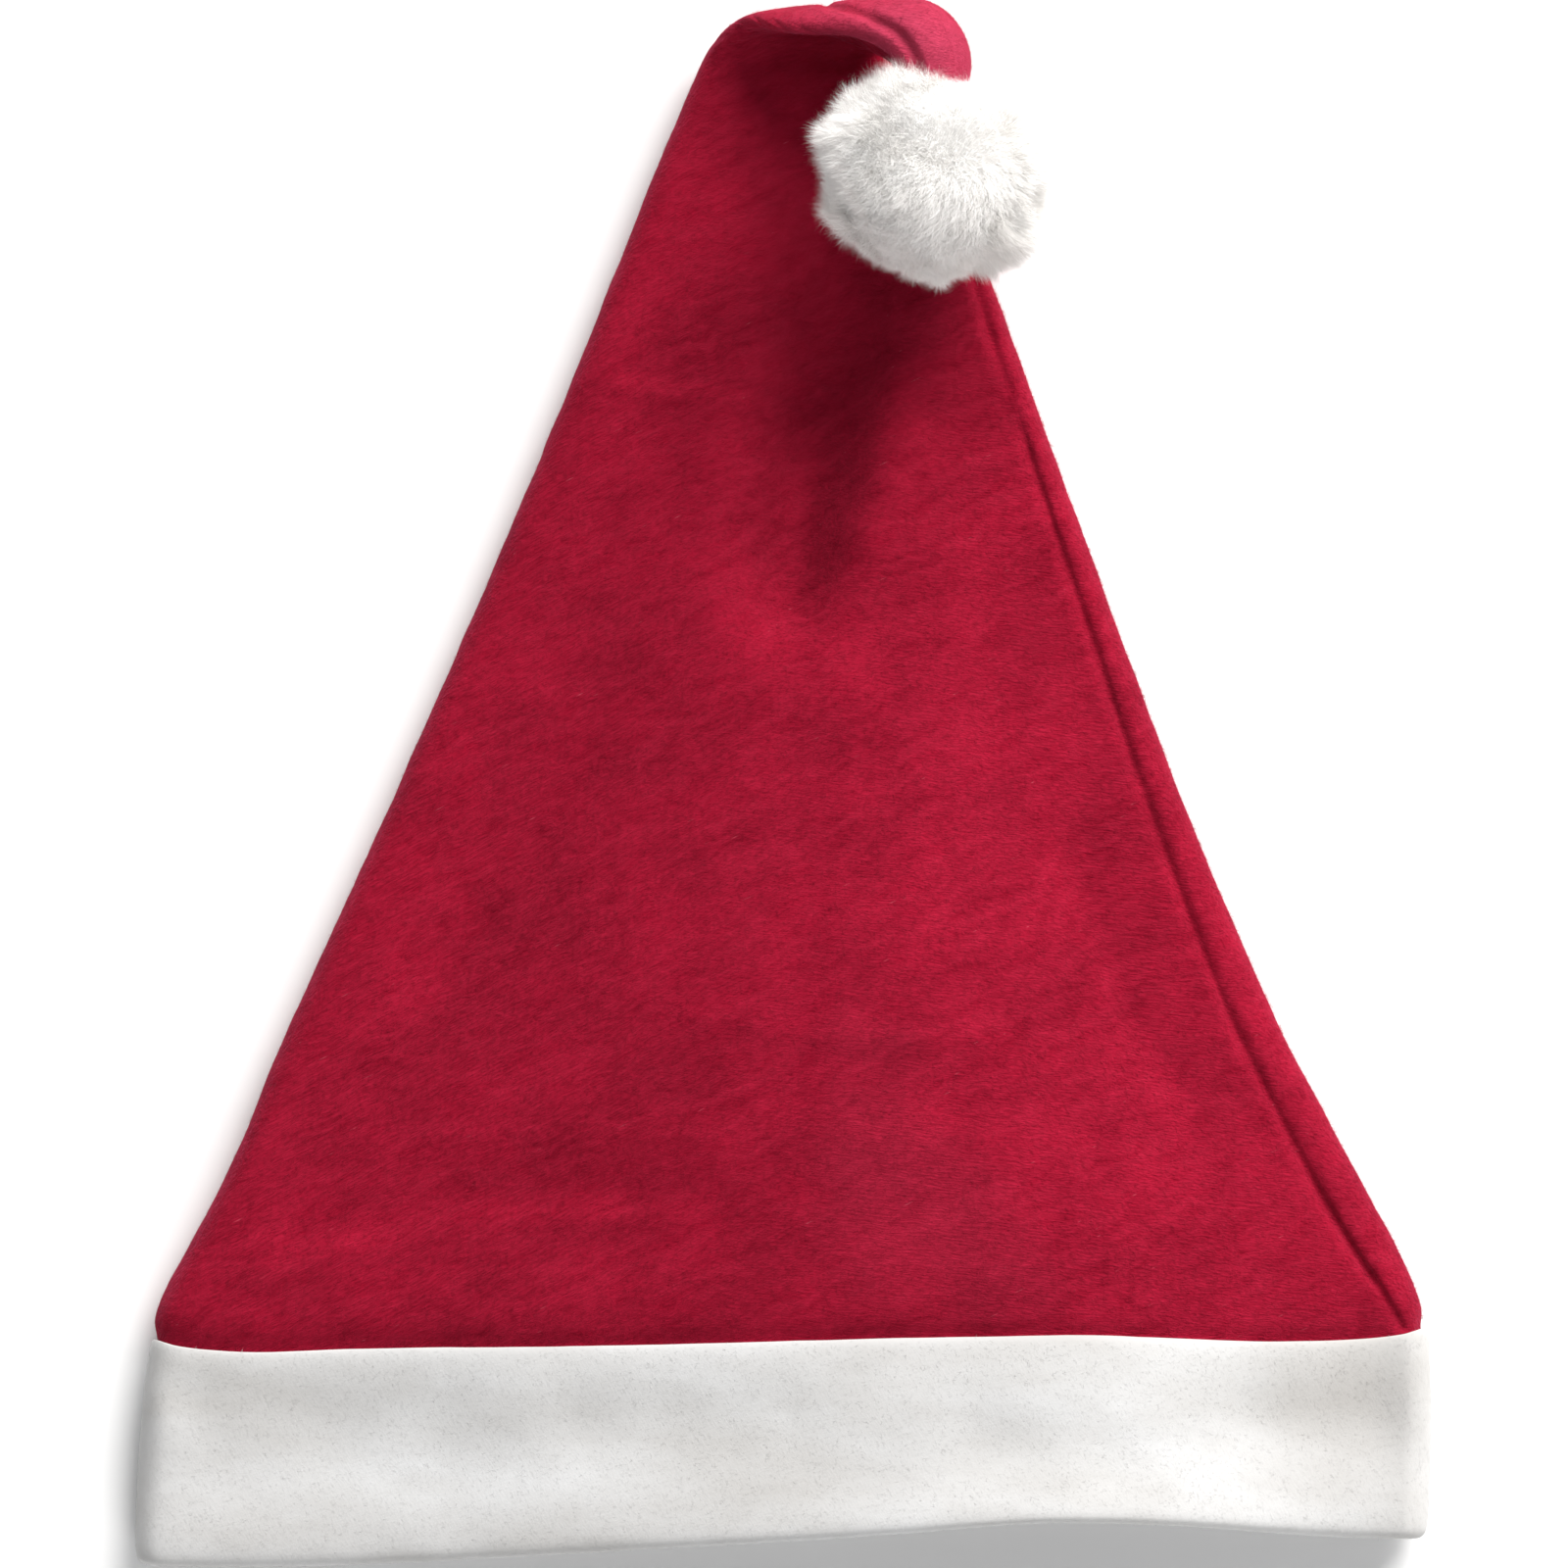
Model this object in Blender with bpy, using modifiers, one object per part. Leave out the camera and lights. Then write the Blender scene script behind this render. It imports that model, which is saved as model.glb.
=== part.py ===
"""A plush Santa hat lying flat, its tip folded over to the front with the pompom on top.

Metres, +Z up. The hat lies on its back: X runs across it, +Y runs from the rim up to the fold
at the top, and the front layer faces +Z. The origin is on the surface under the middle of the hat.

Three pieces: the red crown, a cone of napped cloth with one side seam; the white band, a strip
folded double over the crown's lower edge; and the pompom, whose fur is a head with locks.
"""

import math
import random
from collections import namedtuple

import bmesh
import bpy
from mathutils import Matrix, Vector

# Driving dimensions
RIM_WIDTH = 0.290  # across the band as it lies, half of a 58 cm head opening
HAT_LENGTH = 0.350  # from the rim to the fold at the top
BAND_HEIGHT = 0.048
POMPOM_DIAMETER = 0.052
BAND_LAYER = 0.0016  # one of the band's two layers
CROWN_WALL = 0.0018
CLEARANCE = 0.0003  # between pieces that touch
SIDE_BEND = 0.0014  # inner radius of the band where it turns at its sides
HEM_DEPTH = 0.008  # how far the crown's edge goes into the band
HEM_GAP = 0.0014  # room below that edge in the band's groove
LYING_RADIUS = 0.0055  # half the thickness of the crown where it lies folded at its sides
MOUTH_RISE = 0.022  # how far the front layer lifts off at the rim
CREASE_DEPTH = 0.0026
CREASE_REACH = 0.0085
SEAM_DEPTH = 0.0012
SEAM_REACH = 0.0018
TIP_END_RADIUS = 0.0056
LOCK_LENGTH = 0.0048
EDGE_FADE = 0.12  # share of the crown's length over which the rise of the band's edge fades out
LEAST_FLAT = 1.02  # a section's width over its thickness, at least
FRONT_STRAIGHT, BACK_STRAIGHT = 0.75, 0.6  # most of the front's or back's mesh that is level
BAND_STEPS = (0.35, 0.68)  # shares of the band's height that have a ring of the mesh

# What follows from them
BAND_THICKNESS = 2 * BAND_LAYER + CROWN_WALL + 2 * CLEARANCE
BAND_RADIUS = BAND_THICKNESS + SIDE_BEND  # outer radius of the band's turned sides
CROWN_INSET = BAND_LAYER + CLEARANCE  # the crown's outer face inside the band's
CROWN_LENGTH = HAT_LENGTH - BAND_HEIGHT
POMPOM_RADIUS = POMPOM_DIAMETER / 2
RIM_Y = -HAT_LENGTH / 2
BAND_TOP_Y = RIM_Y + BAND_HEIGHT

# The band from rim to top. height: share of BAND_HEIGHT; middle, half: shares of RIM_WIDTH;
# rise: share of MOUTH_RISE; peak: where the lift is highest, from -1 at the left to 1.
BandRow = namedtuple("BandRow", "height middle half rise peak")
BAND_ROWS = (
    BandRow(0.0, -0.0015, 0.4985, 1.00, 0.42),
    BandRow(0.5, 0.0015, 0.4985, 0.78, 0.38),
    BandRow(1.0, 0.0050, 0.4925, 0.60, 0.34),
)

# How far the rim and the band's top edge rise above their lowest place, across the hat.
# across: share of the hat's width there; rim, top: shares of HAT_LENGTH.
EdgeRow = namedtuple("EdgeRow", "across rim top")
EDGE_ROWS = (
    EdgeRow(-0.500, 0.0012, 0.0090),
    EdgeRow(-0.470, 0.0000, 0.0026),
    EdgeRow(-0.435, 0.0000, 0.0000),
    EdgeRow(-0.317, 0.0025, 0.0036),
    EdgeRow(-0.196, 0.0081, 0.0046),
    EdgeRow(-0.075, 0.0144, 0.0070),
    EdgeRow(0.046, 0.0206, 0.0100),
    EdgeRow(0.167, 0.0288, 0.0120),
    EdgeRow(0.213, 0.0311, 0.0130),
    EdgeRow(0.288, 0.0294, 0.0110),
    EdgeRow(0.379, 0.0231, 0.0076),
    EdgeRow(0.439, 0.0190, 0.0085),
    EdgeRow(0.475, 0.0180, 0.0110),
    EdgeRow(0.500, 0.0178, 0.0165),
)

# The crown from above the band, over the fold and into the fur. rings: rings of the mesh up to
# this row; up: share of CROWN_LENGTH; middle, half: shares of RIM_WIDTH; bend: share of
# LYING_RADIUS; rise: share of MOUTH_RISE; peak as above; climb: share of the way from the lying
# crown's mid-height up to the pompom's centre; roll: degrees that the section is turned in its
# own plane; seam: the seam's place round the section, as section_point counts it; slim: share by
# which the section's left side is thinner; full: where across, from -1 to 1, it is thick again.
CrownRow = namedtuple("CrownRow", "rings up middle half bend rise peak climb roll seam slim full")
CROWN_ROWS = (
    CrownRow(2, 0.020, 0.0036, 0.4885, 1.26, 0.60, 0.32, 0.00, 0, 0.440, 0.00, 0.45),
    CrownRow(2, 0.071, 0.0072, 0.4679, 1.24, 0.64, 0.28, 0.00, 0, 0.432, 0.00, 0.45),
    CrownRow(2, 0.129, 0.0076, 0.4372, 1.20, 0.66, 0.22, 0.00, 0, 0.430, 0.00, 0.45),
    CrownRow(3, 0.246, 0.0008, 0.3790, 1.14, 0.64, 0.14, 0.00, 0, 0.430, 0.00, 0.45),
    CrownRow(4, 0.420, 0.0038, 0.2995, 1.08, 0.50, 0.06, 0.00, 0, 0.432, 0.00, 0.45),
    CrownRow(3, 0.536, 0.0076, 0.2504, 1.04, 0.36, 0.02, 0.00, 0, 0.434, 0.00, 0.45),
    CrownRow(3, 0.652, 0.0113, 0.2020, 1.02, 0.21, 0.00, 0.00, 0, 0.437, 0.00, 0.45),
    CrownRow(3, 0.768, 0.0136, 0.1558, 1.00, 0.07, 0.00, 0.00, 0, 0.446, 0.00, 0.45),
    CrownRow(3, 0.885, 0.0159, 0.1092, 1.00, 0.00, 0.00, 0.00, 0, 0.490, 0.00, 0.45),
    CrownRow(1, 0.925, 0.0168, 0.0925, 1.00, 0.00, 0.00, 0.00, 0, 0.525, 0.00, 0.45),
    CrownRow(2, 0.957, 0.0193, 0.0765, 0.98, 0.00, 0.00, 0.05, 5, 0.590, 0.25, 0.50),
    CrownRow(2, 0.977, 0.0270, 0.0600, 0.93, 0.00, 0.00, 0.25, 15, 0.700, 0.50, 0.45),
    CrownRow(2, 0.975, 0.0430, 0.0510, 1.10, 0.00, 0.00, 0.50, 20, 0.810, 0.58, 0.45),
    CrownRow(2, 0.974, 0.0724, 0.0400, 1.42, 0.00, 0.00, 0.70, 20, 0.920, 0.60, 0.00),
    CrownRow(2, 0.966, 0.1040, 0.0360, 1.66, 0.00, 0.00, 0.84, 20, 0.985, 0.25, -0.30),
    CrownRow(2, 0.945, 0.1155, 0.0325, 1.66, 0.00, 0.00, 0.92, 20, 0.975, 0.00, -0.45),
)
TIP_SEAM = 0.970

# Where the pompom lies. across: share of RIM_WIDTH; up: share of CROWN_LENGTH.
POMPOM_ACROSS, POMPOM_UP = 0.1165, 0.8667
TIP_REACH = 0.5  # how near the tip comes to the pompom's centre, as a share of its radius
TIP_RINGS = 7  # rings that can come close to the fur

# Creases and dents in the crown's front layer, each a straight valley between two places.
# across: shares of RIM_WIDTH; up: shares of CROWN_LENGTH; depth: share of CREASE_DEPTH;
# reach: share of CREASE_REACH.
Crease = namedtuple("Crease", "across_1 up_1 across_2 up_2 depth reach")
CREASES = (
    Crease(0.036, 0.900, 0.026, 0.570, 1.00, 1.60),  # the hollow below the folded tip
    Crease(-0.120, 0.730, 0.000, 0.708, 0.50, 0.70),  # packing crease, left
    Crease(0.095, 0.705, 0.185, 0.665, 0.60, 0.80),  # packing crease, right
    Crease(-0.180, 0.400, -0.275, 0.275, 0.75, 1.30),  # slanting dent
    Crease(0.215, 0.385, 0.288, 0.195, 0.60, 1.00),  # long crease beside the seam
    Crease(0.020, 0.430, 0.040, 0.200, 0.35, 1.10),  # middle packing crease
    Crease(-0.300, 0.110, -0.060, 0.100, 0.50, 1.00),  # crease above the band
)

# Mesh of one section: (place round the section, segments up to it), from the seam's own place
# on the lower crown round by the right side, the back, the left side and the front.
SEAM_HOME = 0.432
HELD_REACH = 0.35  # how far round from the left side the points are held back
HELD_UP_TO = 0.5  # climb share from which none are held
RING_SPANS = ((0.500, 3), (0.600, 3), (0.900, 11), (1.000, 3), (1.0625, 4), (SEAM_HOME + 1, 20))

HEAD_DETAIL = 3  # icosphere subdivisions; a lock stands on each of its faces
LOCK_SHORTEST = 0.6  # share of LOCK_LENGTH
LOCK_SWAY = 0.0012  # how far a lock's point leans to a side

# One section: x, y and lift place its middle and its underside, the rest as in the rows above.
Section = namedtuple(
    "Section", "x y lift half bend rise peak climb roll seam slim full hem turned"
)
LYING = Matrix.Identity(3)
SLIM_FROM, FULL_SPREAD = 0.8, 0.45  # shares of a section's half over which its back and front change


def eased(keys, values, at):
    """A smooth curve through values at increasing keys that never overshoots them."""
    last = len(keys) - 1
    at = min(max(at, keys[0]), keys[-1])
    i = min(max(k for k in range(last + 1) if keys[k] <= at), last - 1)
    steps = [keys[k + 1] - keys[k] for k in range(last)]
    slopes = [(values[k + 1] - values[k]) / steps[k] for k in range(last)]

    def tangent(k):
        if k == 0 or k == last:
            return slopes[min(k, last - 1)]
        before, after = slopes[k - 1], slopes[k]
        return 0.0 if before * after <= 0 else 2 * before * after / (before + after)

    t = (at - keys[i]) / steps[i]
    run = steps[i]
    return (
        values[i] * (1 + 2 * t) * (1 - t) ** 2
        + values[i + 1] * t * t * (3 - 2 * t)
        + run * tangent(i) * t * (1 - t) ** 2
        + run * tangent(i + 1) * t * t * (t - 1)
    )


def edge_rise(share, y):
    """How far the cloth sits up from the straight lines of the rim and the band's top, at a
    share of the way across the hat, -0.5 to 0.5."""
    across = [row.across for row in EDGE_ROWS]
    rim = eased(across, [row.rim for row in EDGE_ROWS], share) * HAT_LENGTH
    top = eased(across, [row.top for row in EDGE_ROWS], share) * HAT_LENGTH
    height = (y - RIM_Y) / BAND_HEIGHT
    if height <= 1:
        return rim + (top - rim) * height
    return top * max(0.0, 1 - (y - BAND_TOP_Y) / (EDGE_FADE * CROWN_LENGTH)) ** 2


def crease_depth(x, y):
    """How deep the creases press the crown's front layer in at a place."""
    total = 0.0
    for crease in CREASES:
        start = Vector((crease.across_1 * RIM_WIDTH, BAND_TOP_Y + crease.up_1 * CROWN_LENGTH))
        end = Vector((crease.across_2 * RIM_WIDTH, BAND_TOP_Y + crease.up_2 * CROWN_LENGTH))
        along = end - start
        share = (Vector((x, y)) - start).dot(along) / along.length_squared
        nearest = start + along * min(max(share, 0.0), 1.0)
        away = (Vector((x, y)) - nearest).length / (crease.reach * CREASE_REACH)
        total += crease.depth * CREASE_DEPTH * math.exp(-away * away)
    return total


def level(share):
    """An even step from 0 to 1."""
    share = min(max(share, 0.0), 1.0)
    return share * share * (3 - 2 * share)


def half_thickness(section, front, share):
    """How far the front or the back is from the section's middle line, at a share of its half.
    The back of a slim section draws in at the left end, and its front in the middle too."""
    slim = section.bend * (1 - section.slim)
    back = slim + (section.bend - slim) * level((share + 1) / SLIM_FROM)
    if not front:
        return -back
    filled = level((share - section.full + FULL_SPREAD) / (2 * FULL_SPREAD))
    return 2 * (slim + (section.bend - slim) * filled) - back


def middle(section):
    return Vector((section.x, section.y, section.lift + section.bend))


def section_point(section, place):
    """A point of a section. place runs 0 to 0.5 over the front from left to right, then 0.5 to 1
    back along the underside. The section is flat with round sides, or round where half = bend."""
    place %= 1.0
    front = place <= 0.5
    most_straight = FRONT_STRAIGHT if front else BACK_STRAIGHT
    sweep = 4 * place - 1 if front else 3 - 4 * place
    side = math.copysign(1.0, sweep)
    end = section.bend * (1 - section.slim) if side < 0 else section.bend
    straight = section.half - end
    natural = straight / (straight + end * math.pi / 2)
    limit = min(natural, most_straight)
    x, round_off = straight * sweep / limit, 1.0
    if abs(sweep) > limit:
        turn = (abs(sweep) - limit) / (1 - limit) * math.pi / 2
        x = side * (straight + end * math.sin(turn))
        round_off = math.cos(turn)
    share = x / section.half
    z = half_thickness(section, front, share) * round_off
    if front and section.rise > 0:
        reach = 1 + section.peak if share < section.peak else 1 - section.peak
        z += section.rise * (0.5 + 0.5 * math.cos(math.pi * (share - section.peak) / reach))
    point = middle(section) + section.turned @ Vector((x, 0, z))
    if section.climb == 0:
        if front and not section.hem:
            shallow = min(1.0, (section.half - abs(x)) / (2 * CREASE_REACH))
            point.z -= crease_depth(point.x, point.y) * shallow
        point.y += edge_rise(0.5 * x / section.half, point.y)
    return point


def ring_places(section):
    """Where a section's mesh points sit round it. They turn with the seam, those at a lying
    section's left side the least, and the two beside the seam keep the groove's width."""
    step = 1e-3
    at_seam = section_point(section, section.seam)
    pace = (section_point(section, section.seam + step) - at_seam).length / step
    beside = SEAM_REACH / pace
    places = [0.0, beside]
    for end, segments in RING_SPANS:
        first = places[-1]
        last = min(end - SEAM_HOME, 1 - beside)
        places += [first + (last - first) * (i + 1) / segments for i in range(segments)]
    turn = section.seam - SEAM_HOME
    held = turn * (1 - min(1.0, section.climb / HELD_UP_TO))
    return [
        section.seam + place - held * level(1 - abs(SEAM_HOME + place - 1) / HELD_REACH)
        for place in places
    ]


def ring(section):
    """The points of one ring of the crown, the first of them sunk for the seam."""
    points = [section_point(section, place) for place in ring_places(section)]
    if not section.hem:
        across = (points[1] - points[-1]).normalized()
        toward = sum(points, Vector()) / len(points) - points[0]
        inward = (toward - across * toward.dot(across)).normalized()
        points[0] = points[0] + inward * SEAM_DEPTH
    return points


def band_section(height, inset):
    """The band's section at a height above the rim, drawn in by inset from its outer face."""
    keys = [row.height for row in BAND_ROWS]
    share = height / BAND_HEIGHT

    def column(name):
        return eased(keys, [getattr(row, name) for row in BAND_ROWS], share)

    return Section(
        x=column("middle") * RIM_WIDTH,
        y=RIM_Y + height,
        lift=inset,
        half=column("half") * RIM_WIDTH - inset,
        bend=BAND_RADIUS - inset,
        rise=column("rise") * MOUTH_RISE,
        peak=column("peak"),
        climb=0,
        roll=0,
        seam=CROWN_ROWS[0].seam,
        slim=0,
        full=CROWN_ROWS[0].full,
        hem=True,
        turned=LYING,
    )


def pompom_centre():
    """It rests on the crown's front layer, just clear of it."""
    rest = 2 * LYING_RADIUS + CLEARANCE
    return Vector(
        (
            POMPOM_ACROSS * RIM_WIDTH,
            BAND_TOP_Y + POMPOM_UP * CROWN_LENGTH,
            rest + POMPOM_RADIUS,
        )
    )


def crown_section(row):
    bend = row.bend * LYING_RADIUS
    climb = row.climb * (pompom_centre().z - LYING_RADIUS)
    lift = 0 if row.climb == 0 else LYING_RADIUS + climb - bend
    return Section(
        x=row.middle * RIM_WIDTH,
        y=BAND_TOP_Y + row.up * CROWN_LENGTH,
        lift=lift,
        half=max(row.half * RIM_WIDTH, bend * LEAST_FLAT),
        bend=bend,
        rise=row.rise * MOUTH_RISE,
        peak=row.peak,
        climb=row.climb,
        roll=row.roll,
        seam=row.seam,
        slim=row.slim,
        full=row.full,
        hem=False,
        turned=LYING,
    )


def tip_section(last, grown=0.0):
    """The end of the tip, between the last row's section and the pompom's centre."""
    centre = pompom_centre()
    outward = (middle(last) - centre).normalized()
    end = centre + outward * (TIP_REACH * POMPOM_RADIUS - grown)
    return last._replace(
        x=end.x,
        y=end.y,
        lift=end.z - TIP_END_RADIUS,
        half=TIP_END_RADIUS * LEAST_FLAT,
        bend=TIP_END_RADIUS,
        seam=TIP_SEAM,
    )


def facing_along(sections):
    """The same sections, those of the fold turned to face along the crown without twisting."""
    turned = LYING
    heading = Vector((0, 1, 0))
    made = []
    for i, section in enumerate(sections):
        if section.climb > 0:
            before, after = sections[i - 1], sections[min(i + 1, len(sections) - 1)]
            way = (middle(after) - middle(before)).normalized()
            turned = heading.rotation_difference(way).to_matrix() @ turned
            heading = way
        rolled = Matrix.Rotation(math.radians(section.roll), 3, "Y")
        made.append(section._replace(turned=turned @ rolled))
    return made


def crown_sections():
    """Every section of the crown, from its hem inside the band to the tip inside the pompom."""
    hem = band_section(BAND_HEIGHT - HEM_DEPTH, CROWN_INSET)
    edge = band_section(BAND_HEIGHT, CROWN_INSET)
    drawn = [edge] + [crown_section(row) for row in CROWN_ROWS]
    keys = [0]
    for row in CROWN_ROWS:
        keys.append(keys[-1] + row.rings)
    sections = [hem, edge]
    for at in range(1, keys[-1] + 1):
        fields = {
            name: eased(keys, [getattr(s, name) for s in drawn], at)
            for name in Section._fields
            if name not in ("hem", "turned")
        }
        sections.append(Section(**fields, hem=False, turned=LYING))
    sections.append(tip_section(sections[-1]))
    return facing_along(sections)


def material(name, colour, roughness):
    made = bpy.data.materials.new(name)
    made.use_nodes = True
    shader = made.node_tree.nodes["Principled BSDF"]
    shader.inputs["Base Color"].default_value = (*colour, 1)
    shader.inputs["Roughness"].default_value = roughness
    shader.inputs["Metallic"].default_value = 0
    return made


def lofted(name, rings, closed_up=False, caps=0):
    """A mesh object skinned over rings of points. It may close on itself, or have a cap at its
    end (caps=1) or at both ends (caps=2)."""
    shape = bmesh.new()
    rows = [[shape.verts.new(point) for point in points] for points in rings]
    pairs = list(zip(rows, rows[1:]))
    if closed_up:
        pairs.append((rows[-1], rows[0]))
    for lower, upper in pairs:
        count = len(lower)
        for i in range(count):
            j = (i + 1) % count
            shape.faces.new((lower[i], lower[j], upper[j], upper[i]))
    if caps > 0:
        shape.faces.new(rows[-1])
    if caps > 1:
        shape.faces.new(reversed(rows[0]))
    bmesh.ops.recalc_face_normals(shape, faces=shape.faces)
    mesh = bpy.data.meshes.new(name)
    shape.to_mesh(mesh)
    shape.free()
    made = bpy.data.objects.new(name, mesh)
    mesh.shade_smooth()
    return made


def crown():
    made = lofted("crown", [ring(s) for s in crown_sections()], caps=1)
    wall = made.modifiers.new("wall", "SOLIDIFY")
    wall.thickness = CROWN_WALL
    wall.offset = -1
    return made


def band():
    """A strip folded double: up the outer face, down and up the groove for the crown's edge,
    down the inner face and round the fold at the rim."""
    groove_in = BAND_LAYER + 2 * CLEARANCE + CROWN_WALL
    groove_floor = BAND_HEIGHT - HEM_DEPTH - HEM_GAP
    lip = 0.35 * BAND_LAYER
    fold = 0.5 * BAND_THICKNESS
    low, high = (share * BAND_HEIGHT for share in BAND_STEPS)
    profile = (
        (0.0, fold),
        (0.0, low),
        (0.0, high),
        (0.0, BAND_HEIGHT - 2 * lip),
        (0.5 * BAND_LAYER, BAND_HEIGHT),
        (BAND_LAYER, BAND_HEIGHT - lip),
        (BAND_LAYER, groove_floor),
        (groove_in, groove_floor),
        (groove_in, BAND_HEIGHT - lip),
        (BAND_THICKNESS - 0.5 * BAND_LAYER, BAND_HEIGHT),
        (BAND_THICKNESS, BAND_HEIGHT - 2 * lip),
        (BAND_THICKNESS, high),
        (BAND_THICKNESS, low),
        (BAND_THICKNESS, fold),
        (0.82 * BAND_THICKNESS, 0.35 * fold),
        (0.5 * BAND_THICKNESS, 0.0),
        (0.18 * BAND_THICKNESS, 0.35 * fold),
    )
    rings = []
    for inset, height in profile:
        section = band_section(height, inset)
        rings.append([section_point(section, place) for place in ring_places(section)])
    return lofted("band", rings, closed_up=True)


def pompom_head():
    """A ball with a pointed lock of fur on every face."""
    spread = random.Random(5)
    shape = bmesh.new()
    head = POMPOM_RADIUS - LOCK_LENGTH
    bmesh.ops.create_icosphere(shape, subdivisions=HEAD_DETAIL, radius=head)
    points = bmesh.ops.poke(shape, faces=shape.faces)["verts"]
    for point in points:
        way = point.co.normalized()
        sway = Vector([spread.uniform(-LOCK_SWAY, LOCK_SWAY) for _ in range(3)])
        length = LOCK_LENGTH * spread.uniform(LOCK_SHORTEST, 1)
        point.co = (way * (head + length) + sway).normalized() * (head + length)
    mesh = bpy.data.meshes.new("pompom")
    shape.to_mesh(mesh)
    shape.free()
    made = bpy.data.objects.new("pompom", mesh)
    made.location = pompom_centre()
    return made


def tip_cutter():
    """The socket in the fur that the crown's tip sits in, a clearance wider than the tip."""
    gap = 2 * CLEARANCE
    sections = crown_sections()[-TIP_RINGS:]
    sections[-1] = tip_section(sections[-1], grown=gap)._replace(turned=sections[-1].turned)
    rings = []
    for section in sections:
        wider = section._replace(
            lift=section.lift - gap, half=section.half + gap, bend=section.bend + gap
        )
        rings.append([section_point(wider, place) for place in ring_places(section)])
    made = lofted("tip_cutter", rings, caps=2)
    made.hide_render = True
    made.display_type = "WIRE"
    return made


def pompom(cutter):
    made = pompom_head()
    socket = made.modifiers.new("tip socket", "BOOLEAN")
    socket.operation = "DIFFERENCE"
    socket.object = cutter
    return made


def collection(name):
    made = bpy.data.collections.new(name)
    bpy.context.scene.collection.children.link(made)
    return made


def main():
    for old in list(bpy.data.objects):
        bpy.data.objects.remove(old)
    hat, cutters = collection("santa_hat"), collection("cutters")
    red_plush = material("red_plush", (0.40, 0.010, 0.030), 0.92)
    white_felt = material("white_felt", (0.82, 0.81, 0.78), 0.95)
    white_fur = material("white_fur", (0.90, 0.89, 0.86), 0.90)
    cutter = tip_cutter()
    cutters.objects.link(cutter)
    for piece, finish in ((crown(), red_plush), (band(), white_felt), (pompom(cutter), white_fur)):
        piece.data.materials.append(finish)
        hat.objects.link(piece)


main()
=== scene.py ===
# %% [markdown]
# # Dressing a plush Santa hat
#
# The hat's solids are already made: a hollow red crown of cloth, a white band folded double over
# its lower edge, and a fur pompom. They are loaded first, and each is then replaced by a piece
# with the folds, nap and fur of the real thing, in the same place and of the same size.

# %% Load the solids
import math

import bmesh
import bpy
import numpy as np
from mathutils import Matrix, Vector, noise
from mathutils.bvhtree import BVHTree


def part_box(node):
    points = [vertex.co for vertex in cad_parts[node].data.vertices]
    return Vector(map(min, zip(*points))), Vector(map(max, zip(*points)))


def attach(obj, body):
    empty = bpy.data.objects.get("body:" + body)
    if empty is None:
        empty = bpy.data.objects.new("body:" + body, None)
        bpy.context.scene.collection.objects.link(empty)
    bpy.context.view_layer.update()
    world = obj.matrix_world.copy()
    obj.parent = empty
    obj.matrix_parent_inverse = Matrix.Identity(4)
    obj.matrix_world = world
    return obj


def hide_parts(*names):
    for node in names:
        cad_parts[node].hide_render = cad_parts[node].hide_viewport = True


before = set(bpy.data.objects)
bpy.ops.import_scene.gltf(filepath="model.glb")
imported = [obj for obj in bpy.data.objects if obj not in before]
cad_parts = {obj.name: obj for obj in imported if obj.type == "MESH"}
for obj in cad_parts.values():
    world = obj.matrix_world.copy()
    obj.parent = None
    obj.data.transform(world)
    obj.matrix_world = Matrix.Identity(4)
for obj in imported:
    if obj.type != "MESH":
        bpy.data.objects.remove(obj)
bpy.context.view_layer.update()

MM = 0.001
draws = np.random.default_rng(24)  # the one source of chance, so every run makes the same hat
print("solids", sorted(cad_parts))

# %% [markdown]
# ## Places on the hat
#
# The hat is seen straight from above, so a place on it is easiest to name as it is seen: so many
# steps from the left and from the top of a square picture of 1600 steps a side. One function turns
# such a place into metres. Every crease and every bend of the seam below is given in this way.

# %% Places on the hat
STEP = 0.219 * MM
PICTURE_STEPS = 1600
MIDDLE_STEP = 799  # the step across that lies at x = 0
TOP_Y = 0.175  # the y of the picture's upper edge, in metres


def spot(across, down):
    """A place seen from above, in metres from the middle of the hat."""
    return np.array([(across - MIDDLE_STEP) * STEP, TOP_Y - down * STEP])


def smooth(low, high, value):
    """0 below low, 1 above high, and an even curve between them."""
    share = np.clip((value - low) / (high - low), 0, 1)
    return share * share * (3 - 2 * share)


def bell(distance, width):
    """1 at no distance, and softly down to 0 past the width."""
    return np.exp(-((distance / width) ** 2))


def away_from_line(points, line):
    """How far each point is from a line of straight stretches, in 2-D or 3-D."""
    nearest = np.full(len(points), 1e9)
    for start, end in zip(line[:-1], line[1:]):
        along = end - start
        share = np.clip((points - start) @ along / (along @ along), 0, 1)
        nearest = np.minimum(nearest, np.linalg.norm(points - start - share[:, None] * along, axis=1))
    return nearest


print("the picture is", round(PICTURE_STEPS * STEP / MM, 1), "mm wide")

# %% [markdown]
# ## One side of the shell
#
# A solid cloth has an outer and an inner side. Only the outer one is kept and shaped, and at the
# end a Solidify modifier gives it a thickness again, so both sides of the cloth always run
# together. The solid's triangles are first joined back into four-sided faces, because those
# subdivide evenly.

# %% One side of the shell
SHARP_TURN = math.radians(65)


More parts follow.
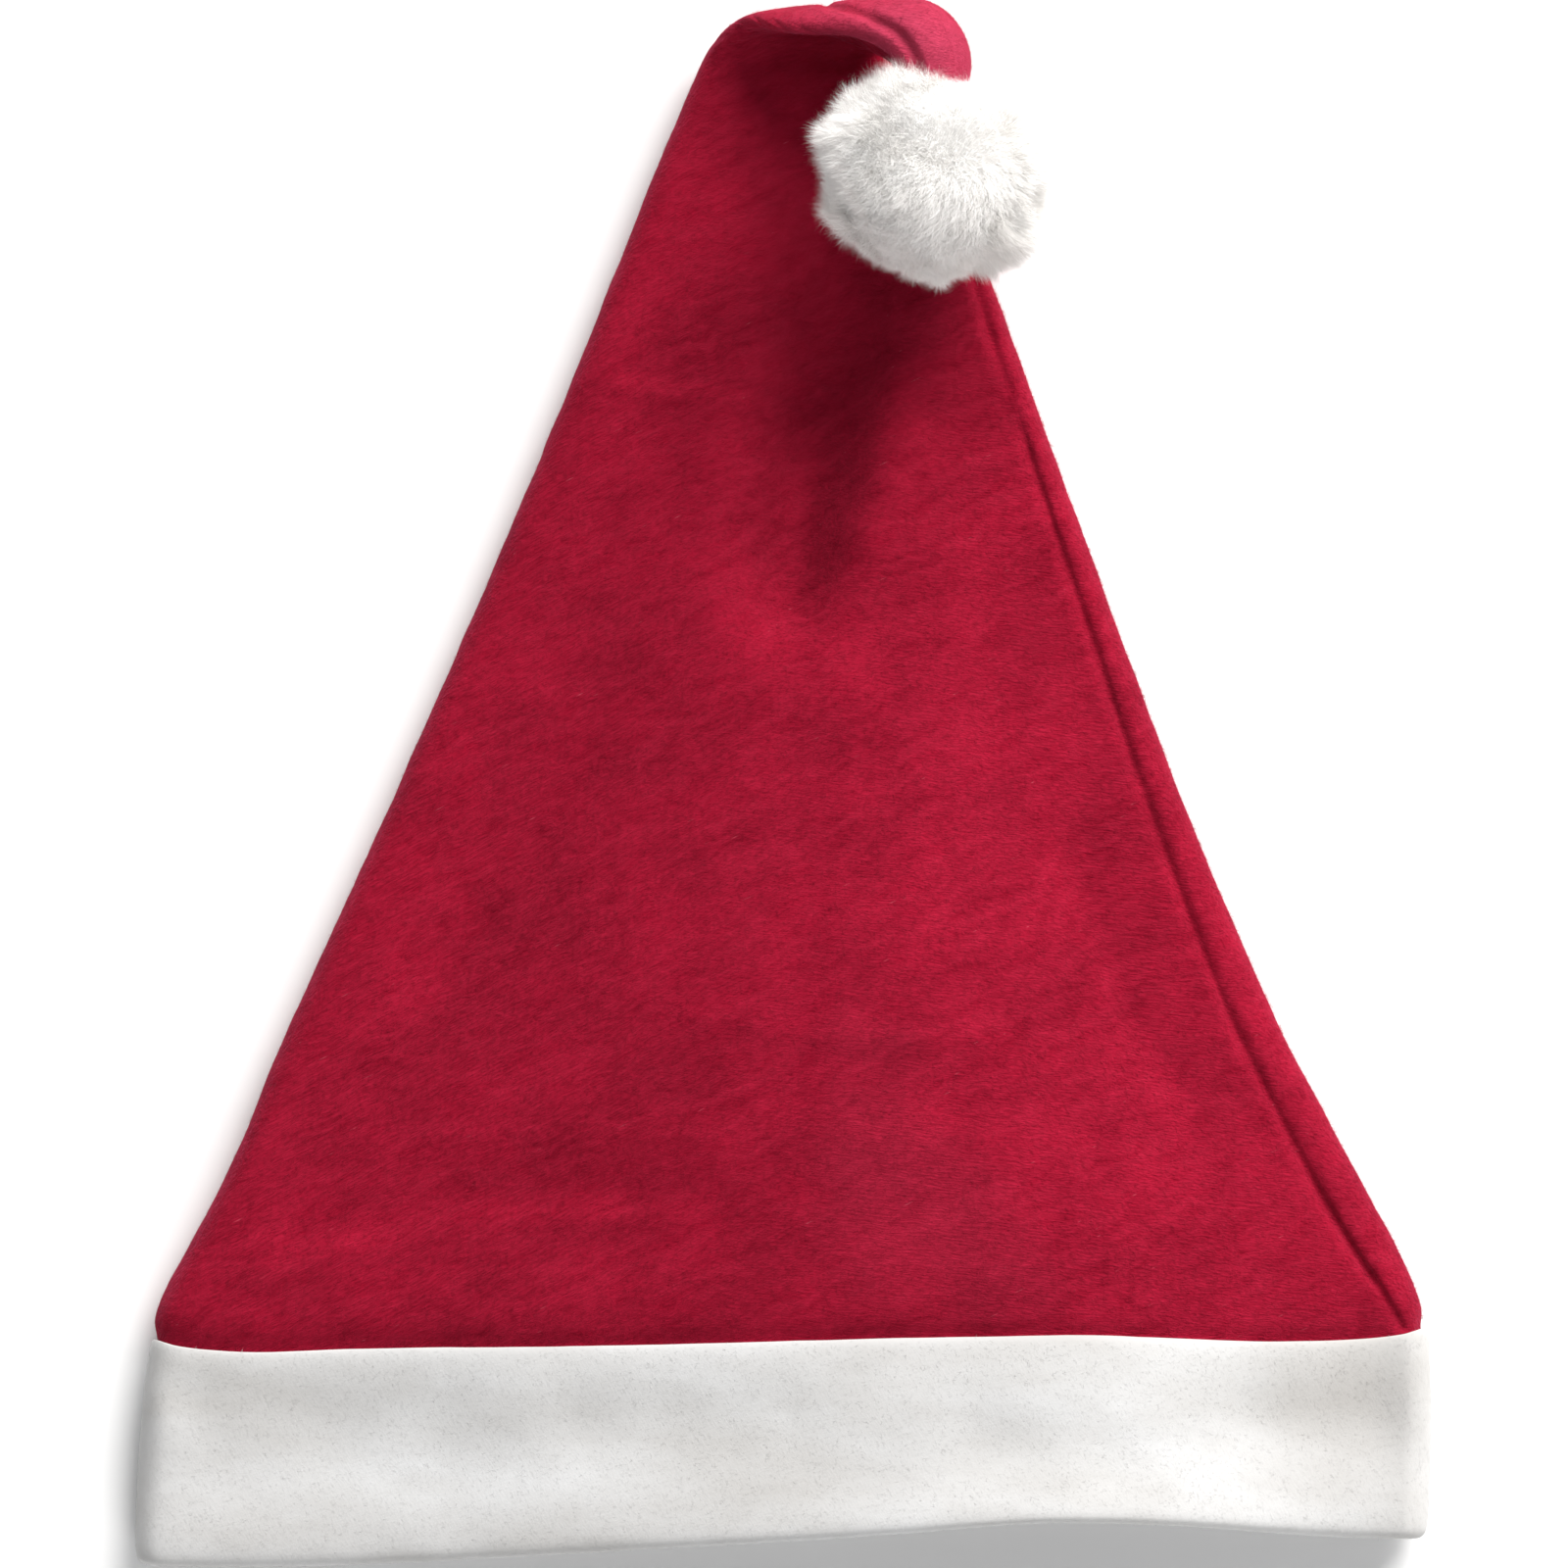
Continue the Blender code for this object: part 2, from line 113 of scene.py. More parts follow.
def cloth_faces(node, outer_only, may_turn=lambda place: True):
    """The solid's faces as quads. With outer_only, those of the outer side: they are reached from
    the top without crossing a sharp edge where the cloth may turn to its inner side."""
    shape = bmesh.new()
    shape.from_mesh(node.data)
    bmesh.ops.remove_doubles(shape, verts=shape.verts, dist=0.01 * MM)
    bmesh.ops.join_triangles(
        shape,
        faces=shape.faces,
        angle_face_threshold=math.radians(60),
        angle_shape_threshold=math.radians(70),
    )
    if outer_only:
        start = max(shape.faces, key=lambda face: face.calc_center_median().z)
        skin, waiting = {start}, [start]
        while waiting:
            for edge in waiting.pop().edges:
                soft = edge.calc_face_angle(0) < SHARP_TURN
                if soft or not may_turn((edge.verts[0].co + edge.verts[1].co) / 2):
                    fresh = [face for face in edge.link_faces if face not in skin]
                    skin.update(fresh)
                    waiting += fresh
        rest = [face for face in shape.faces if face not in skin]
        bmesh.ops.delete(shape, geom=rest, context="FACES")
    return shape


print("a fold sharper than", round(math.degrees(SHARP_TURN)), "degrees may be where the cloth turns in")

# %% [markdown]
# ## From coarse to fine
#
# Cloth bends in long soft curves, and a coarse shell shows its edges. Catmull-Clark subdivision
# rounds them. The modifier is worked in right away, so that the fine points are there to be moved.

# %% From coarse to fine
def show(name, mesh):
    """A new piece in the scene, made of this mesh."""
    made = bpy.data.objects.new(name, mesh)
    bpy.context.scene.collection.objects.link(made)
    return made


def settled(piece):
    """The piece's mesh with its modifiers worked in, and the modifiers gone."""
    depsgraph = bpy.context.evaluated_depsgraph_get()
    mesh = bpy.data.meshes.new_from_object(piece.evaluated_get(depsgraph))
    piece.modifiers.clear()
    piece.data = mesh
    mesh.shade_smooth()
    return piece


def refined(name, shape, levels):
    """A piece made of the shape, after so many rounds of subdivision."""
    mesh = bpy.data.meshes.new(name)
    shape.to_mesh(mesh)
    shape.free()
    piece = show(name, mesh)
    finer = piece.modifiers.new("finer", "SUBSURF")
    finer.levels = finer.render_levels = levels
    return settled(piece)


print("helpers:", show.__name__, settled.__name__, refined.__name__)

# %% [markdown]
# ## Moving the points
#
# The folds could be sculpted with a brush. Moving the points in code does the same and can be
# repeated: all of a mesh's points are read into one array, moved together, and written back.

# %% Moving the points
def points_of(mesh):
    flat = np.empty(len(mesh.vertices) * 3)
    mesh.vertices.foreach_get("co", flat)
    return flat.reshape(-1, 3)


def normals_of(mesh):
    flat = np.empty(len(mesh.vertices) * 3)
    mesh.vertices.foreach_get("normal", flat)
    return flat.reshape(-1, 3)


def moved(mesh, points):
    mesh.vertices.foreach_set("co", points.ravel())
    mesh.update()


def ripple(points, size, seed):
    """Soft noise from -1 to 1 with bumps of the given size."""
    shift = Vector((seed * 7.3, seed * 3.1, seed * 5.7))
    return np.array([noise.noise(Vector(point) / size + shift) for point in points])


def off_floor(points):
    """0 where the cloth lies on the floor, and 1 from a little above it."""
    return smooth(0.3 * MM, 2.5 * MM, points[:, 2])


print("helpers:", points_of.__name__, normals_of.__name__, moved.__name__, ripple.__name__)

# %% [markdown]
# ## The crown's outer face
#
# The crown is a tube of cloth that is open at both ends: at the hem, under the band, and at the
# narrow end of the tip, inside the pompom. Only there may its outer face turn to the inner one.
# The tip is folded so tightly that some of its bends are as sharp as those rims, so the two rims
# are told apart by where they are. One round of subdivision leaves steps in the fold, and two
# make it as round as cloth.

# %% The crown's outer face
HEM_Y = -0.12
TIP_END = Vector((34, 148, 36)) * MM
TIP_RIM = 12 * MM


def at_crown_rim(place):
    """At the hem, or where the tip's narrow end opens inside the pompom."""
    return place.y < HEM_Y or (place - TIP_END).length < TIP_RIM


crown_shape = cloth_faces(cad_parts["crown"], outer_only=True, may_turn=at_crown_rim)
crown_cloth = refined("crown_cloth", crown_shape, 2)
print("the crown's outer face has", len(crown_cloth.data.polygons), "faces")

# %% [markdown]
# ## Where the seam runs
#
# The crown is one piece of cloth closed by a single seam. It has rolled to the front by the right
# edge, goes out of sight under the pompom, and comes back over the fold to the tip. The solid has
# it as a shallow groove. Its places are known as seen from above, so a ray from above finds how
# high the cloth is there.

# %% Where the seam runs
SEAM_SEEN = (
    (
        (1429, 1352), (1406, 1314), (1382, 1278), (1359, 1240), (1335, 1199), (1310, 1151),
        (1254, 1040), (1206, 920), (1162, 800), (1126, 692), (1091, 587), (1055, 480),
        (1020, 373), (1002, 320), (987, 266), (974, 213),
    ),
    ((841, 13), (854, 18), (876, 23), (901, 33), (919, 44), (928, 55), (937, 72), (945, 123)),
)


def tree_of(mesh):
    """The mesh in a form that finds the nearest point and what a ray meets."""
    return BVHTree.FromPolygons([v.co for v in mesh.vertices], [p.vertices for p in mesh.polygons])


def from_above(tree, places):
    """The points of the cloth that are seen at these places from above."""
    sky, down = 0.2, Vector((0, 0, -1))
    return np.array([tree.ray_cast(Vector((*spot(*place), sky)), down)[0] for place in places])


unpressed_crown = tree_of(crown_cloth.data)
SEAM = [from_above(unpressed_crown, line) for line in SEAM_SEEN]
SEAM_LENGTHS = [np.linalg.norm(np.diff(line, axis=0), axis=1).sum() for line in SEAM]
print("the seam shows over", [round(length / MM) for length in SEAM_LENGTHS], "mm")

# %% [markdown]
# ## Creases from the packing
#
# The hat has been folded in a bag, so its front has long shallow creases, and the weight of the
# tip makes a hollow below it. They could be sculpted by hand or simulated, but then they wouldn't
# lie where the real ones do. Here each crease is a line with a depth and a reach on either side.
# All of them together make one height for every place, and the crown and the band are moved by
# the same heights, so the one stays inside the other.

# %% Creases from the packing
# line of places, depth in mm (below zero for a ridge), reach in mm
CREASES = (
    # the hollow below the tip
    (((868, 230), (855, 350), (830, 470), (804, 600)), 4.6, 10),
    (((830, 470), (808, 560)), 1.2, 10),
    (((938, 330), (912, 430), (876, 540)), -2.1, 8),
    (((800, 300), (790, 560)), 1.0, 14),
    # level creases on both sides of it
    (((640, 382), (720, 392), (800, 402)), 0.5, 2.2),
    (((640, 396), (720, 407), (790, 416)), -0.4, 2.8),
    (((930, 425), (1040, 418)), 1.1, 7),
    (((950, 480), (1010, 472), (1062, 459)), -0.8, 2.8),
    # folds that run down the front
    (((660, 720), (630, 760), (540, 860), (440, 990)), 1.2, 8),
    (((700, 760), (600, 880)), -0.5, 8),
    (((808, 560), (818, 800), (811, 1190)), 0.7, 8),
    (((846, 560), (858, 800), (850, 1190)), -0.6, 7),
    (((1090, 880), (1150, 1020), (1200, 1110)), 0.4, 4),
    (((1072, 900), (1130, 1030), (1180, 1130)), -0.2, 4.5),
    (((1110, 1180), (1160, 1250)), 0.35, 3),
    # level creases above the band
    (((700, 1035), (860, 1058), (1010, 1060)), -0.45, 3.2),
    (((440, 1160), (600, 1150), (740, 1165)), -0.3, 3.5),
    (((270, 1300), (480, 1245), (700, 1240)), -0.6, 4),
    (((300, 1270), (480, 1222), (640, 1215)), 0.55, 5),
    # dents in the band
    (((165, 1395), (200, 1440), (225, 1475)), 0.45, 4.5),
    (((215, 1420), (330, 1445), (450, 1440)), 0.9, 8),
    (((600, 1445), (800, 1440)), 0.8, 8),
    (((1000, 1465), (1130, 1485)), 0.8, 9),
    (((1280, 1448), (1395, 1445)), 1.6, 10),
    (((350, 1490), (450, 1500)), 0.5, 7),
    (((160, 1500), (600, 1478), (1000, 1490), (1450, 1490)), 1.1, 11),
)


def pressed(points):
    """How far down the front is pressed at each point, and soft unevenness between creases."""
    flat = points[:, :2]
    down = np.zeros(len(points))
    for line, depth, reach in CREASES:
        away = away_from_line(flat, [spot(*place) for place in line])
        down += depth * MM * bell(away, reach * MM)
    low = np.column_stack([flat, np.zeros(len(flat))])
    down += 0.42 * MM * ripple(low, 34 * MM, 1) + 0.2 * MM * ripple(low, 15 * MM, 2)
    return down


print(len(CREASES), "creases, the deepest", max(depth for line, depth, reach in CREASES), "mm")

# %% [markdown]
# ## More points where the lines are fine
#
# The cloth's faces are still 2 to 3 mm wide, and the seam's groove and the narrow creases are finer
# than that, so they would be lost between the points. Subdividing the whole crown once more would
# make it four times as heavy. Only the faces along those lines are cut in three each way, and the
# new points are smoothed, so they follow the round cloth.

# %% More points where the lines are fine
NARROW_REACH = 5  # mm, as in the list of creases
FRONT_Z = 8 * MM
FINE_STRIP = 3.6 * MM


def finer_near_lines(mesh):
    """Three times as many points each way along the seam and the narrow creases."""
    points = points_of(mesh)
    away = np.minimum(*(away_from_line(points, line) for line in SEAM))
    for line, depth, reach in CREASES:
        if reach < NARROW_REACH:
            beside = away_from_line(points[:, :2], [spot(*place) for place in line])
            away = np.where(points[:, 2] > FRONT_Z, np.minimum(away, beside), away)
    near = away < FINE_STRIP
    shape = bmesh.new()
    shape.from_mesh(mesh)
    edges = [e for e in shape.edges if near[e.verts[0].index] and near[e.verts[1].index]]
    made = bmesh.ops.subdivide_edges(shape, edges=edges, cuts=2, use_grid_fill=True)
    fresh = [part for part in made["geom_inner"] if isinstance(part, bmesh.types.BMVert)]
    every_way = {"use_axis_x": True, "use_axis_y": True, "use_axis_z": True}
    for _ in range(2):
        bmesh.ops.smooth_vert(shape, verts=fresh, factor=0.5, **every_way)
    print(len(mesh.vertices), "points of cloth become", len(shape.verts))
    shape.to_mesh(mesh)
    shape.free()
    mesh.shade_smooth()


finer_near_lines(crown_cloth.data)

# %% [markdown]
# ## The crown's cloth
#
# A knitted plush about 2 mm thick, brushed to a short nap. Its front is pressed by the creases,
# its seam is drawn in tighter with a soft ridge on each side and small puckers, and the rolled
# edges are a little uneven. The seam pulls hardest near the band. The back lies flat on the floor
# and is left as it is, and so is the sharp left end of the fold, where bumps would cross.

# %% The crown's cloth
CROWN_WALL = 1.7 * MM
FOLD_END = (765, 24)  # the left end of the fold over the tip, as seen from above


def along_seam(points, from_seam):
    """How far the seam moves the cloth outwards: a groove, a ridge on each side, and puckers."""
    deep = (0.2 + 0.45 * smooth(-0.06, -0.11, points[:, 1])) * MM
    groove = deep * bell(from_seam, 0.9 * MM)
    ridge = 0.22 * MM * bell(from_seam - 2.8 * MM, 1.6 * MM)
    pucker = ripple(points, 5 * MM, 3) * 0.35 * MM * bell(from_seam, 5 * MM)
    return ridge - groove + pucker


def shape_crown(mesh):
    points, normals = points_of(mesh), normals_of(mesh)
    below_fold = smooth(0.158, 0.146, points[:, 1])
    on_front = smooth(3 * MM, 8.5 * MM, points[:, 2]) * below_fold
    above_band = smooth(-0.1275, -0.122, points[:, 1])
    from_seam = np.minimum(*(away_from_line(points, line) for line in SEAM))
    low = on_front * pressed(points) * smooth(1 * MM, 5 * MM, from_seam + 2 * MM)
    uneven = 0.22 * MM * ripple(points, 9 * MM, 4) + 0.12 * MM * ripple(points, 4 * MM, 5)
    fold_end = from_above(unpressed_crown, [FOLD_END])[0]
    calm = 1 - bell(np.linalg.norm(points - fold_end, axis=1), 9 * MM)
    outward = (along_seam(points, from_seam) + uneven) * off_floor(points) * above_band * calm
    points[:, 2] -= low
    moved(mesh, points + normals * outward[:, None])


shape_crown(crown_cloth.data)
crown_skin = crown_cloth.data.copy()
wall = crown_cloth.modifiers.new("wall", "SOLIDIFY")
wall.thickness, wall.offset = CROWN_WALL, -1
settled(crown_cloth)
print("crown cloth:", len(crown_cloth.data.polygons), "faces")

# %% [markdown]
# ## The band's felt
#
# A strip of white felt, folded double over the crown's lower edge, so its fold is the hat's rim.
# The outer face of the solid runs up both sides and round that fold. It is one sheet again when
# that face alone gets a thickness. Felt is stiffer than plush: it keeps wide dents and no sharp
# lines, so it needs no finer points.

# %% The band's felt
BAND_LAYER = 1.5 * MM
band_cloth = refined("band_cloth", cloth_faces(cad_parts["band"], outer_only=True), 2)


def shape_band(mesh):
    points, normals = points_of(mesh), normals_of(mesh)
    on_front = smooth(6.2 * MM, 8.2 * MM, points[:, 2])
    points[:, 2] -= on_front * pressed(points)
    uneven = 0.16 * MM * ripple(points, 11 * MM, 6) + 0.08 * MM * ripple(points, 4.5 * MM, 7)
    moved(mesh, points + normals * (uneven * off_floor(points))[:, None])


shape_band(band_cloth.data)
band_skin = band_cloth.data.copy()
layer = band_cloth.modifiers.new("layer", "SOLIDIFY")
layer.thickness, layer.offset = BAND_LAYER, -1
settled(band_cloth)
print("band cloth:", len(band_cloth.data.polygons), "faces")

# %% [markdown]
# ## Where fibres grow
#
# Brushing pulls fibres out of the cloth, as many in one place as in another. So the faces are
# drawn by their area, and a place is then drawn on each. The same draw serves plush, felt and fur.

# %% Where fibres grow
def spread_over(mesh, count, keep):
    """Places drawn evenly over the faces that keep() allows: points and normals."""
    mesh.calc_loop_triangles()
    corners = np.empty(len(mesh.loop_triangles) * 3, dtype=np.int32)
    mesh.loop_triangles.foreach_get("vertices", corners)
    corners = corners.reshape(-1, 3)
    points, normals = points_of(mesh), normals_of(mesh)
    a, b, c = (points[corners[:, k]] for k in range(3))
    area = np.linalg.norm(np.cross(b - a, c - a), axis=1) / 2
    area[~keep((a + b + c) / 3, normals[corners].mean(axis=1))] = 0
    chosen = draws.choice(len(corners), count, p=area / area.sum())
    u, v = draws.random(count), draws.random(count)
    over = u + v > 1
    u[over], v[over] = 1 - u[over], 1 - v[over]
    share = np.column_stack([1 - u - v, u, v])[:, :, None]
    normal = (normals[corners[chosen]] * share).sum(axis=1)
    normal /= np.linalg.norm(normal, axis=1)[:, None]
    return (points[corners[chosen]] * share).sum(axis=1), normal, area.sum()


print("fibres grow on", len(crown_skin.polygons), "faces of plush and", len(band_skin.polygons), "of felt")

# %% [markdown]
# ## Fibres as one mesh
#
# Particle hair would do, but it isn't a mesh and doesn't go into an export. Here each fibre is a
# slim bent blade of two triangles, and all of them are made at once with arrays and joined.

# %% Fibres as one mesh
def mesh_of(name, points, faces):
    """A mesh from arrays of points and of faces that all have the same number of corners."""
    mesh = bpy.data.meshes.new(name)
    count, corners = faces.shape
    mesh.vertices.add(len(points))
    mesh.vertices.foreach_set("co", points.ravel())
    mesh.loops.add(count * corners)
    mesh.loops.foreach_set("vertex_index", faces.astype(np.int32).ravel())
    mesh.polygons.add(count)
    mesh.polygons.foreach_set("loop_start", np.arange(count, dtype=np.int32) * corners)
    mesh.update(calc_edges=True)
    mesh.validate()
    return mesh


def unit(vectors):
    """The same directions, each of length 1."""
    return vectors / np.linalg.norm(vectors, axis=1)[:, None]


def blades(name, root, way, up, length, width, lift):
    """One joined mesh of fibres: each goes from its root along way, lifted off the cloth."""
    along = unit(way - up * (way * up).sum(axis=1)[:, None])
    side = np.cross(along, up)
    middle = root + along * (0.45 * length)[:, None] + up * (0.8 * lift * length)[:, None]
    tip = root + along * length[:, None] + up * (lift * length)[:, None]
    half = (0.5 * width)[:, None] * side
    points = np.stack([root - up * 0.1 * MM, middle - half, middle + half, tip], axis=1)
    base = 4 * np.arange(len(root))[:, None]
    faces = np.concatenate([base + [0, 2, 1], base + [1, 2, 3]])
    return show(name, mesh_of(name, points.reshape(-1, 3), faces))


print("helpers:", mesh_of.__name__, unit.__name__, blades.__name__)

# %% [markdown]
# ## The crown's nap
#
# On the left the nap rises to the right, and towards the seam it lies level. The direction of each
# fibre is that flow with some disorder. A few fibres are longer and reach further out, which makes
# the soft edge that plush has against the light. Below the band's edge and on the floor there are
# none. The nap is two pieces, a left and a right one, so that neither gets too heavy.

# %% The crown's nap
CROWN_FIBRES = 75000  # in each of two pieces
CROWN_FIBRE_MM = (0.7, 1.9)
CROWN_FIBRE_WIDTH_MM = (0.06, 0.11)
CROWN_FIBRE_LIFT = (0.1, 0.32)  # as a share of the length
LONG_FIBRES, LONGER = 0.03, 1.5
NAP_DISORDER = 0.5  # in radians
NAP_SPLIT = 5 * MM  # the x where the left piece ends
HALF_WIDTH, HALF_LENGTH = 0.145, 0.175


def brushed_way(points):
    """The direction of the nap, as an angle from +X."""
    across = points[:, 0] / HALF_WIDTH - 0.3 * (points[:, 1] / HALF_LENGTH)
    steady = math.radians(33) - math.radians(38) * smooth(-0.6, 0.75, across)
    low = np.column_stack([points[:, :2], np.zeros(len(points))])
    return steady + 0.35 * ripple(low, 18 * MM, 8)


BAND_EDGE_SEEN = (
    (155, 1350), (180, 1372), (220, 1376), (300, 1375), (460, 1371), (620, 1369), (780, 1363),
    (940, 1359), (1060, 1356), (1180, 1359), (1300, 1365), (1420, 1359), (1457, 1345),
)


def band_edge(x):
    """How far up the band's top edge reaches, at a place across the hat."""
    return np.interp(x, *spot(*np.array(BAND_EDGE_SEEN).T))


def crown_nap(name, from_x, to_x):
    def keep(middle, normal):
        above_band = middle[:, 1] > band_edge(middle[:, 0]) + 0.3 * MM
        return above_band & (normal[:, 2] > -0.35) & (middle[:, 0] >= from_x) & (middle[:, 0] < to_x)

    root, up, area = spread_over(crown_skin, CROWN_FIBRES, keep)
    angle = brushed_way(root) + draws.normal(0, NAP_DISORDER, len(root))
    way = np.column_stack([np.cos(angle), np.sin(angle), np.zeros(len(root))])
    length = draws.uniform(*CROWN_FIBRE_MM, len(root)) * MM
    length[draws.random(len(root)) < LONG_FIBRES] *= LONGER
    lift = draws.uniform(*CROWN_FIBRE_LIFT, len(root))
    width = draws.uniform(*CROWN_FIBRE_WIDTH_MM, len(root)) * MM
    print(name, "has", round(len(root) / (area * 1e6), 2), "fibres to the square millimetre")
    return blades(name, root, way, up, length, width, lift)


crown_nap_left = crown_nap("crown_nap_left", -1, NAP_SPLIT)
crown_nap_right = crown_nap("crown_nap_right", NAP_SPLIT, 1)

# %% [markdown]
# ## The band's nap
#
# Felt has no direction: its fibres are matted, so they point every way and lie closer to the
# cloth. None grow on the band's top edge, where they would show as white hairs on the red.

# %% The band's nap
BAND_FIBRES = 40000
BAND_FIBRE_MM = (0.5, 1.5)
BAND_FIBRE_WIDTH_MM = (0.04, 0.08)
BAND_FIBRE_LIFT = (0.03, 0.16)


def band_nap():
    def keep(middle, normal):
        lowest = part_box("band")[0].z
        return (normal[:, 2] > -0.2) & (normal[:, 1] < 0.35) & (middle[:, 2] > lowest + 1 * MM)

    root, up, area = spread_over(band_skin, BAND_FIBRES, keep)
    angle = draws.uniform(0, 2 * math.pi, len(root))
    way = np.column_stack([np.cos(angle), np.sin(angle), draws.normal(0, 0.4, len(root))])
    length = draws.uniform(*BAND_FIBRE_MM, len(root)) * MM
    lift = draws.uniform(*BAND_FIBRE_LIFT, len(root))
    width = draws.uniform(*BAND_FIBRE_WIDTH_MM, len(root)) * MM
    print("band nap has", round(len(root) / (area * 1e6), 2), "fibres to the square millimetre")
    return blades("band_nap", root, way, up, length, width, lift)


band_nap_piece = band_nap()

# %% [markdown]
# ## The pompom's ball
#
# A pompom is long white pile, wound and trimmed to a ball. What lies below its loose fur is dense
# enough to be one soft body. It is made from the solid: the locks are pressed in to a fifth of
# their height, because the fur will stand on them, and the skin swells a little wherever the
# crown leaves room. The socket that the crown's tip sits in stays as it is.

# %% The pompom's ball
POMPOM_RADIUS = 26 * MM
HEAD_RADIUS = 20.5 * MM
LOCKS_KEPT = 0.2
FLUFF = 0.8 * MM
low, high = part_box("pompom")
POMPOM_CENTRE = np.array([(a + b) / 2 for a, b in zip(low, high)])
POMPOM_REST = low.z - 0.2 * MM
dressed_crown = tree_of(crown_cloth.data)


def ball_mesh():
    centre = Vector(POMPOM_CENTRE)
    shape = cloth_faces(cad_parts["pompom"], outer_only=False)
    for vert in shape.verts:
        out = vert.co - centre
        if out.length > HEAD_RADIUS - 0.6 * MM:
            free = max(0, dressed_crown.find_nearest(vert.co)[3] - 0.8 * MM)
            reach = HEAD_RADIUS + LOCKS_KEPT * max(0, out.length - HEAD_RADIUS)
            vert.co = centre + out.normalized() * (reach + min(FLUFF, free))
    mesh = bpy.data.meshes.new("pompom_ball")
    shape.to_mesh(mesh)
    shape.free()
    mesh.shade_smooth()
    return mesh


pompom_ball = show("pompom_ball", ball_mesh())
print("pompom at", (POMPOM_CENTRE / MM).round(1))

# %% [markdown]
# ## Tufts, and where the fur ends
#
# The fibres stick together in soft tufts of uneven reach. The tufts are spread over the ball
# along a spiral, which leaves no rows to see. The fur isn't a ball either: one lock hangs lower,
# and the fold holds the fur back at the top. Its edge is followed by a few places seen from
# above, and each becomes a direction and a share of the radius. They count in full for fur that
# points sideways, and not at all for fur that points up.

# %% Tufts, and where the fur ends
TUFTS = 420
FUR_ENDS = (
    (1084, 135), (1040, 103), (972, 83), (954, 72), (925, 63), (904, 70), (875, 85), (837, 122),
    (828, 130), (834, 177), (840, 230), (863, 256), (884, 274), (904, 280), (932, 278), (940, 291),
    (957, 303), (972, 291), (990, 284), (1013, 287), (1057, 268), (1074, 218),
)
SHORTEST_REACH = 0.9  # the ball below the fur would show at less


def even_directions(count):
    """Directions spread evenly over a ball, along a spiral."""
    k = np.arange(count) + 0.5
    height = 1 - 2 * k / count
    turn = k * math.pi * (3 - math.sqrt(5))
    flat = np.sqrt(1 - height * height)
    return np.column_stack([flat * np.cos(turn), flat * np.sin(turn), height])


def level_share(out):
    """1 for a direction that lies level, and 0 for one that points straight up or down."""
    return np.linalg.norm(out[:, :2], axis=1) ** 3


TUFT_WAY = unit(even_directions(TUFTS) + draws.normal(0, 0.05, (TUFTS, 3)))
TUFT_REACH = 1 + 0.034 * draws.normal(0, 1, TUFTS) + 0.05 * ripple(TUFT_WAY, 0.6, 9)
ends = np.array([spot(*place) for place in FUR_ENDS]) - POMPOM_CENTRE[:2]
END_TURN = np.arctan2(ends[:, 1], ends[:, 0])
END_REACH = np.linalg.norm(ends, axis=1) / POMPOM_RADIUS


def outline_share(out):
    """How far the fur reaches in each direction, so that its edge ends where it is seen to end."""
    turn = np.arctan2(out[:, 1], out[:, 0])
    order = np.argsort(END_TURN)
    seen = np.interp(turn, END_TURN[order], END_REACH[order], period=2 * math.pi)
    return 1 + (np.maximum(seen, SHORTEST_REACH) - 1) * level_share(out)


print("the fur reaches", END_REACH.round(2), "of its radius")

# %% [markdown]
# ## The pompom's fur
#
# Each strand is a fine blade of three triangles. It starts straight out, and its end lies over
# with its flat side out, along a direction that changes slowly over the ball, so the fur closes
# to a soft bright surface. On the right nothing presses it, so there it stands out straighter and
# further. A strand that would touch the crown or run through it is left out. A dense underfur
# and a layer of finer and longer guard hairs are made by the same function.

# %% The pompom's fur
FREE_SIDE = unit(np.array([[0.93, -0.3, 0.1]]))[0]
FREE_EXTRA = 0.05
STICKING = (0.0, 0.15)  # how far a strand leans to the middle of its tuft
CLEARANCE = 0.4 * MM


def in_the_clear(start, end):
    """True where a strand neither touches the crown nor runs through it."""
    clear = []
    for a, b in zip(map(Vector, start), map(Vector, end)):
        way = b - a
        near = dressed_crown.find_nearest(b)[3]
        clear.append(near > CLEARANCE and dressed_crown.ray_cast(a, way, way.length)[0] is None)
    return np.array(clear)


def on_outer_ball(middle, normal):
    """Only where the ball looks outwards, so not in the tip's socket."""
    out = middle - POMPOM_CENTRE
    far = np.linalg.norm(out, axis=1)
    return (far > HEAD_RADIUS - 1 * MM) & ((unit(out) * normal).sum(axis=1) > 0.2)


